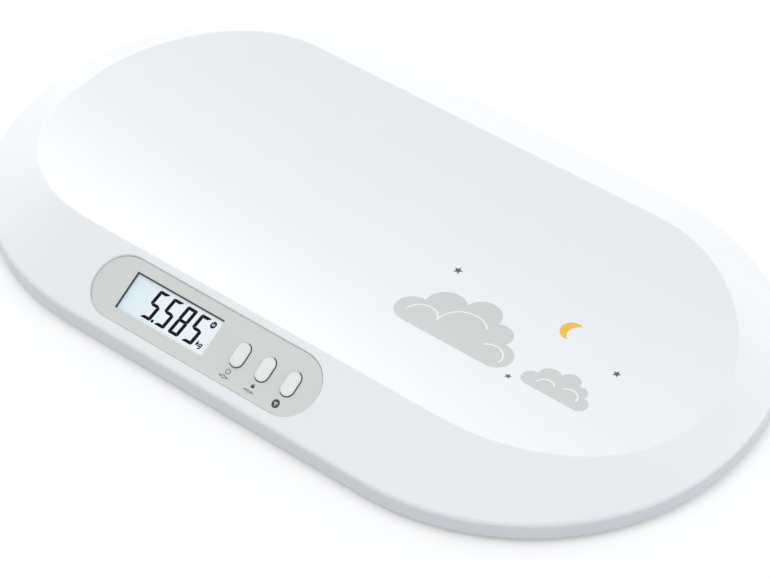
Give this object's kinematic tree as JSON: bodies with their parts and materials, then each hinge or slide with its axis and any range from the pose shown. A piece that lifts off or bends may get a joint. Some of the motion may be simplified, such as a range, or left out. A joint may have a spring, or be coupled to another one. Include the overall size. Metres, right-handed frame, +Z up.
{
  "type": "digital baby weighing scale",
  "caption": "Low stadium-shaped scale with a trough-shaped tray for a lying baby, and a display panel with buttons on its sloped front apron.",
  "frame": {"origin": "on the floor under the middle of the scale", "axes": "+X along the tray, -Y the side with the display panel, +Z up"},
  "size_m": [0.57, 0.333, 0.0441],
  "materials": {
    "backlight": "milky light guide",
    "base_plastic": "fine matt white moulding",
    "battery_can": "plain dark sleeve",
    "board_green": "green lacquered board",
    "button_white": "satin off-white moulding",
    "cell_steel": "plain stamped spring steel",
    "chip_black": "black moulding",
    "contact_rubber": "layered contact rubber",
    "foot_plastic": "matt white moulding",
    "foot_rubber": "grey non-slip rubber",
    "frame_dark": "matt black moulding",
    "gauge_film": "amber film under sealant",
    "lcd_face": "pale blue-grey lit display",
    "lead_black": "black vinyl insulation",
    "lead_red": "red vinyl insulation",
    "lead_sleeve": "light grey vinyl sleeve",
    "panel_grey": "satin light grey moulding",
    "plug_white": "natural nylon",
    "radio_metal": "tinned shield can",
    "spring_steel": "nickel plated",
    "steel": "zinc plated",
    "switch_black": "black moulding",
    "white_shell": "gloss white moulding",
    "print_grey": "light grey pad-printed ink",
    "print_white": "white pad-printed ink",
    "print_yellow": "warm yellow pad-printed ink",
    "print_dark": "dark warm grey pad-printed ink",
    "panel_ink": "dark grey pad-printed ink",
    "display_ink": "black display segments"
  },
  "bodies": {
    "scale": {"base_cover": "base_plastic", "battery_cell_1": "battery_can", "battery_cell_2": "battery_can", "battery_cell_3": "battery_can", "battery_contacts": "spring_steel", "battery_lead_black": "lead_black", "battery_lead_red": "lead_red", "battery_spring_1": "spring_steel", "battery_spring_2": "spring_steel", "battery_spring_3": "spring_steel", "board_screws": "steel", "cell_lead_back_left": "lead_sleeve", "cell_lead_back_right": "lead_sleeve", "cell_lead_front_left": "lead_sleeve", "cell_lead_front_right": "lead_sleeve", "circuit_board": "board_green", "control_panel": "panel_grey", "controller_chip": "chip_black", "cover_screws": "steel", "display_frame": "frame_dark", "foot_cup_back_left": "foot_plastic", "foot_cup_back_right": "foot_plastic", "foot_cup_front_left": "foot_plastic", "foot_cup_front_right": "foot_plastic", "foot_pad_back_left": "foot_rubber", "foot_pad_back_right": "foot_rubber", "foot_pad_front_left": "foot_rubber", "foot_pad_front_right": "foot_rubber", "hold_switch": "steel", "lcd_backlight": "backlight", "lcd_contact_strips": "contact_rubber", "lcd_glass": "lcd_face", "lead_plugs": "plug_white", "link_switch": "steel", "load_cell_back_left": "cell_steel", "load_cell_back_right": "cell_steel", "load_cell_front_left": "cell_steel", "load_cell_front_right": "cell_steel", "power_switch": "steel", "radio_module": "radio_metal", "strain_gauges": "gauge_film", "tray_shell": "white_shell"},
    "power_button": {"power_button": "button_white", "power_switch_plunger": "switch_black"},
    "hold_button": {"hold_button": "button_white", "hold_switch_plunger": "switch_black"},
    "link_button": {"link_button": "button_white", "link_switch_plunger": "switch_black"},
    "battery_door": {"battery_door": "base_plastic"}
  },
  "joints": [
    {"name": "power_press", "type": "slide", "parent": "scale", "child": "power_button", "axis": [0, 0.4919, -0.8707], "range_m": [0, 0.0008], "stiffness_N_per_m": 600, "springref_m": -0.0005},
    {"name": "hold_press", "type": "slide", "parent": "scale", "child": "hold_button", "axis": [0, 0.4919, -0.8707], "range_m": [0, 0.0008], "stiffness_N_per_m": 600, "springref_m": -0.0005},
    {"name": "link_press", "type": "slide", "parent": "scale", "child": "link_button", "axis": [0, 0.4919, -0.8707], "range_m": [0, 0.0008], "stiffness_N_per_m": 600, "springref_m": -0.0005},
    {"name": "battery_door_hinge", "type": "hinge", "parent": "scale", "child": "battery_door", "pos_m": [-0.027, 0.046, 0.0062], "axis": [0, 1, 0], "range_deg": [0, 85]}
  ]
}
